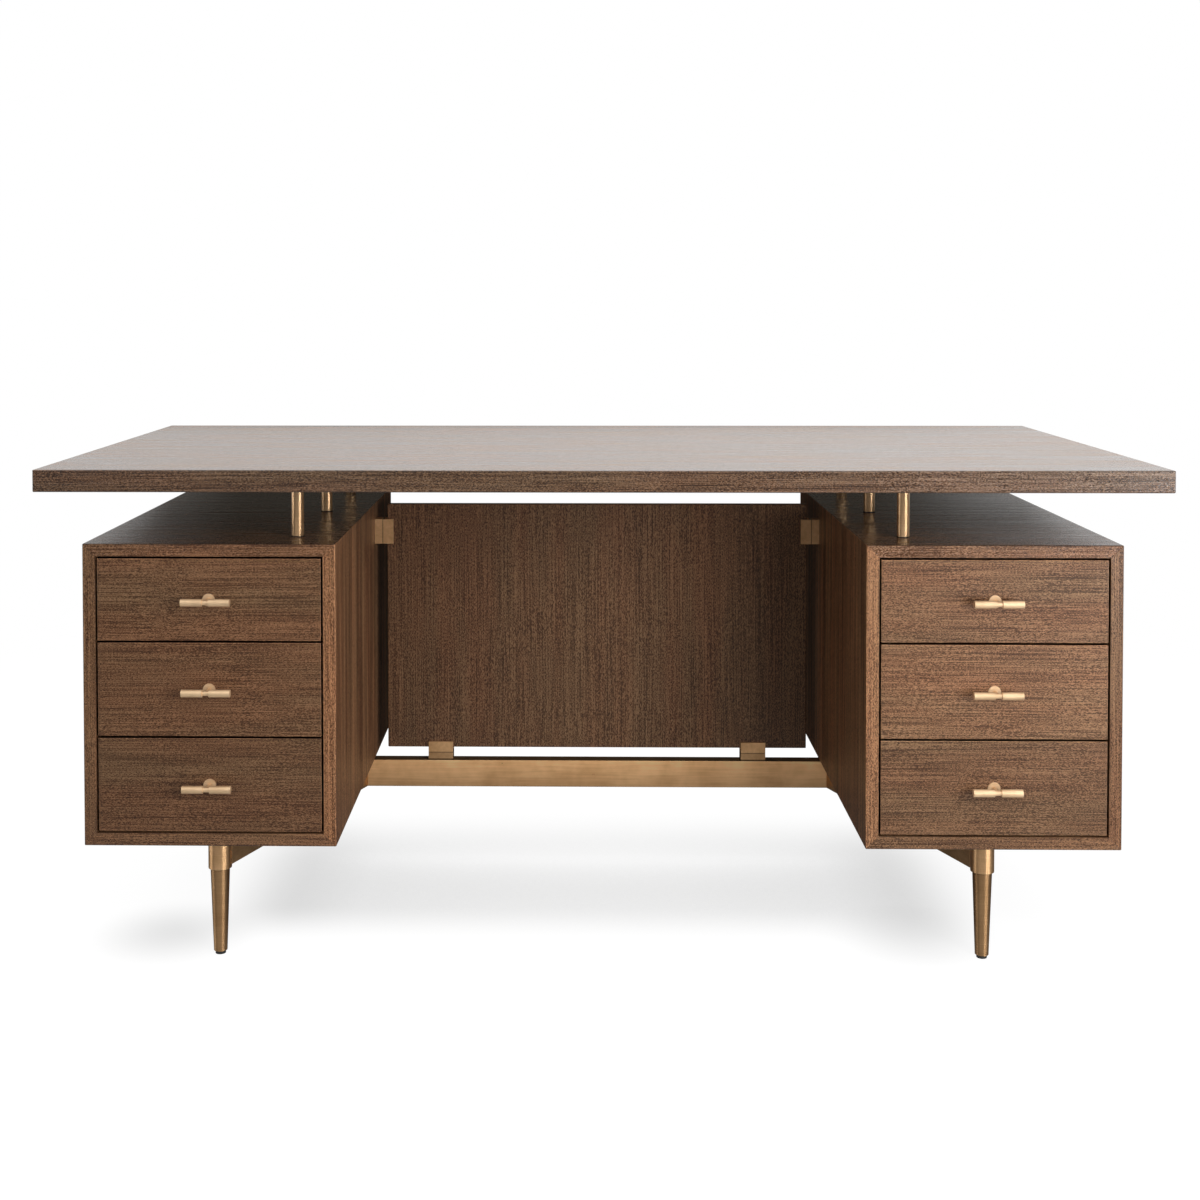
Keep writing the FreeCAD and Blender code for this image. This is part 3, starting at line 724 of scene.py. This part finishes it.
def makeFloor():
    # the eye sees a soft shadow under the desk and plain white further off
    bpy.ops.mesh.primitive_plane_add(size=floor["size"], location=(0, 0, 0))
    plane = bpy.context.object
    plane.name = "studioFloor"
    material, tree, shader = blankMaterial("studioFloor")
    tree.nodes.remove(shader)
    place = addNode(tree, "ShaderNodeTexCoord").outputs["Object"]
    parts = axesOf(tree, place)
    ray = addNode(tree, "ShaderNodeLightPath").outputs

    # mirrors see little of the lit floor, but behind the desk it goes over into the white backdrop
    front = smoothStep(tree, parts["Y"], *floor["mirroredFront"])
    front = maths(tree, "MULTIPLY", front, smoothStep(tree, parts["Y"], *floor["mirroredUnder"]))
    mirrored = maths(tree, "MAXIMUM", front, smoothStep(tree, parts["Y"], *floor["mirroredBack"]))
    seen = maths(tree, "MAXIMUM", ray["Is Camera Ray"], ray["Is Transmission Ray"])
    seen = maths(tree, "MAXIMUM", seen, maths(tree, "MULTIPLY", ray["Is Glossy Ray"], mirrored))

    # the shadow lies between the legs, with a small pool beside each front foot
    openness = addNode(tree, "ShaderNodeAmbientOcclusion", {"Distance": floor["shadowReach"]},
                       samples=floor["shadowSamples"])
    shade = smoothStep(tree, openness.outputs["AO"], *floor["closeness"])
    aside = smoothStep(tree, maths(tree, "ABSOLUTE", parts["X"]), *floor["shadowSides"])
    within = maths(tree, "MULTIPLY", smoothStep(tree, parts["Y"], *floor["shadowFront"]),
                   smoothStep(tree, parts["Y"], *floor["shadowBack"]))
    within = maths(tree, "MULTIPLY", aside, within)
    shade = maths(tree, "MULTIPLY_ADD", maths(tree, "SUBTRACT", shade, 1.0), within, 1.0)
    for x, y, darkness in floor["pools"]:
        reach = vectorMaths(tree, "LENGTH", vectorMaths(tree, "SUBTRACT", place, (x, y, 0.0)))
        pool = smoothStep(tree, reach, (0.0, floor["poolReach"]), 1.0 - darkness)
        shade = maths(tree, "MULTIPLY", shade, pool)

    def diffuse(gray):
        return addNode(tree, "ShaderNodeBsdfDiffuse", {0: (gray, gray, gray, 1.0)}).outputs[0]

    def mixed(share, first, second):
        return addNode(tree, "ShaderNodeMixShader", {0: share, 1: first, 2: second}).outputs[0]

    glow = addNode(tree, "ShaderNodeEmission", {"Strength": shade}).outputs[0]
    ground = addNode(tree, "ShaderNodeAddShader", {0: diffuse(floor["shadowShare"]), 1: glow}).outputs[0]
    white = addNode(tree, "ShaderNodeEmission", {"Strength": 1.0}).outputs[0]
    fading = mixed(smoothStep(tree, vectorMaths(tree, "LENGTH", place), floor["whiteFrom"]), ground, white)
    feed(tree, tree.nodes["Material Output"], {"Surface": mixed(seen, diffuse(floor["color"]), fading)})
    plane.data.materials.append(material)


shadeSheet = {"left": -1.36, "right": 1.20, "back": 0.46, "height": 0.785, "color": (0.120, 0.110, 0.090),
        "roughness": 0.9, "sideFade": 0.68, "topFade": 0.04, "litFrom": (0.62, 0.76), "lowShare": 0.12}


def makeShadeSheet():
    # a dark sheet behind the desk, below its top, with soft edges, that only reflections see: a painted
    # reflection of the shade that falls behind the desk, glowing faintly towards its top
    left, right, back, height = shadeSheet["left"], shadeSheet["right"], shadeSheet["back"], shadeSheet["height"]
    mesh = bpy.data.meshes.new("paintedShadeSheet")
    corners = [(left, back, 0.0), (right, back, 0.0), (right, back, height), (left, back, height)]
    mesh.from_pydata(corners, [], [(0, 1, 2, 3)])
    board = bpy.data.objects.new("paintedShadeSheet", mesh)
    bpy.context.scene.collection.objects.link(board)
    material, tree, shader = blankMaterial("paintedShadeSheet")
    parts = axesOf(tree, addNode(tree, "ShaderNodeTexCoord").outputs["Object"])
    cover = maths(tree, "MULTIPLY", smoothStep(tree, parts["X"], (left, left + shadeSheet["sideFade"])),
                  smoothStep(tree, parts["X"], (right, right - shadeSheet["sideFade"])))
    cover = maths(tree, "MULTIPLY", cover, smoothStep(tree, parts["Z"], (height, height - shadeSheet["topFade"])))
    feed(tree, shader, {
        "Base Color": (0.0, 0.0, 0.0, 1.0),
        "Roughness": shadeSheet["roughness"],
        # a faint painted glow, strongest near the sheet's top
        "Emission Color": (*shadeSheet["color"], 1.0),
        "Emission Strength": smoothStep(tree, parts["Z"], shadeSheet["litFrom"], shadeSheet["lowShare"]),
        "Alpha": cover,
    })
    mesh.materials.append(material)
    board.visible_camera = False
    board.visible_diffuse = False
    board.visible_transmission = False
    board.visible_shadow = False


# a direction's X, Y or Z has two limits and the grays at them
studio = {
    "ambient": 0.22,
    "inFront": ((-0.45, 0.25), 1.0, 0.0),
    "frontal": ((0.05, 0.55), 0.50, 1.30),
    "leftward": ((-0.3, 0.3), 0.82, 1.0),
    "aside": ((0.60, 0.85), 1.0, 0.12),
}


def makeWorld():
    world = bpy.data.worlds.new("studio")
    bpy.context.scene.world = world
    world.use_nodes = True
    tree = world.node_tree
    ray = addNode(tree, "ShaderNodeLightPath").outputs
    way = axesOf(tree, addNode(tree, "ShaderNodeTexCoord").outputs["Generated"])
    # mirrors see the white backdrop behind the desk and a greyer room in front of it
    inFront = smoothStep(tree, way["Y"], *studio["inFront"])
    frontal = smoothStep(tree, way["Z"], *studio["frontal"])
    room = maths(tree, "MULTIPLY_ADD", inFront, maths(tree, "SUBTRACT", frontal, 1.0), 1.0)
    room = maths(tree, "MULTIPLY", room, smoothStep(tree, way["X"], *studio["leftward"]))
    aside = smoothStep(tree, maths(tree, "ABSOLUTE", way["X"]), *studio["aside"])
    room = maths(tree, "MULTIPLY", room, aside)
    mirrored = maths(tree, "MAXIMUM", ray["Is Glossy Ray"], ray["Is Transmission Ray"])
    unseen = mixNumbers(tree, mirrored, studio["ambient"], room)
    strength = mixNumbers(tree, ray["Is Camera Ray"], unseen, 1.0)
    feed(tree, tree.nodes["Background"], {"Color": (1.0, 1.0, 1.0, 1.0), "Strength": strength})


# seen says which bounces a lamp lights; the two strips stay lower than the desk's top, whose
# mirror they so keep out of, and put the highlights on the turned brass
lamps = {
    "key": {"place": (1.15, -2.10, 0.90), "aim": (0.1, -0.35, 0.50), "size": (1.0, 1.3),
            "power": 40.0, "seen": ("diffuse",)},
    "fill": {"place": (-1.30, -2.50, 0.95), "aim": (0.3, 0.1, 0.40), "size": (1.0, 1.0),
             "power": 9.0, "seen": ("diffuse",)},
    "overhead": {"place": (0.2, 0.1, 3.0), "aim": (0.1, 0.0, 0.0), "size": (2.2, 2.2),
                 "power": 50.0, "seen": ("diffuse", "glossy")},
    "rightStrip": {"place": (3.90, -3.80, 0.38), "aim": (0.2, -0.3, 0.38), "size": (3.6, 0.72),
                   "power": 100.0, "seen": ("glossy",)},
    "leftStrip": {"place": (-4.50, -0.50, 0.38), "aim": (0.0, -0.3, 0.38), "size": (2.6, 0.72),
                  "power": 26.0, "seen": ("glossy",)},
}


def makeLamps():
    for name, look in lamps.items():
        light = bpy.data.lights.new(name, "AREA")
        light.shape = "RECTANGLE"
        light.size, light.size_y = look["size"]
        light.energy = look["power"]
        lamp = bpy.data.objects.new(name, light)
        lamp.location = look["place"]
        way = Vector(look["aim"]) - Vector(look["place"])
        lamp.rotation_euler = way.to_track_quat("-Z", "Y").to_euler()
        lamp.visible_camera = False
        lamp.visible_diffuse = "diffuse" in look["seen"]
        lamp.visible_glossy = "glossy" in look["seen"]
        bpy.context.scene.collection.objects.link(lamp)


camera = {
    "place": (-0.03236, -2.84944, 1.01811),
    "pitch": 0.02818,
    "turn": 0.01779,
    "roll": 0.00097,
    "lens": 49.879,
    "sensor": 36.0,
    "shift": (0.04265, -0.2147),
    "sight": 200.0,
}


def makeCamera():
    data = bpy.data.cameras.new("camera")
    data.lens = camera["lens"]
    data.sensor_width = camera["sensor"]
    data.shift_x, data.shift_y = camera["shift"]
    data.clip_end = camera["sight"]
    eye = bpy.data.objects.new("camera", data)
    eye.location = camera["place"]
    eye.rotation_euler = Euler((math.pi / 2 - camera["pitch"], camera["roll"], camera["turn"]))
    bpy.context.scene.collection.objects.link(eye)
    bpy.context.scene.camera = eye


makeFloor()
makeShadeSheet()
makeWorld()
makeLamps()
makeCamera()
bpy.context.scene.view_settings.view_transform = "Standard"
print("floor, light and camera set")
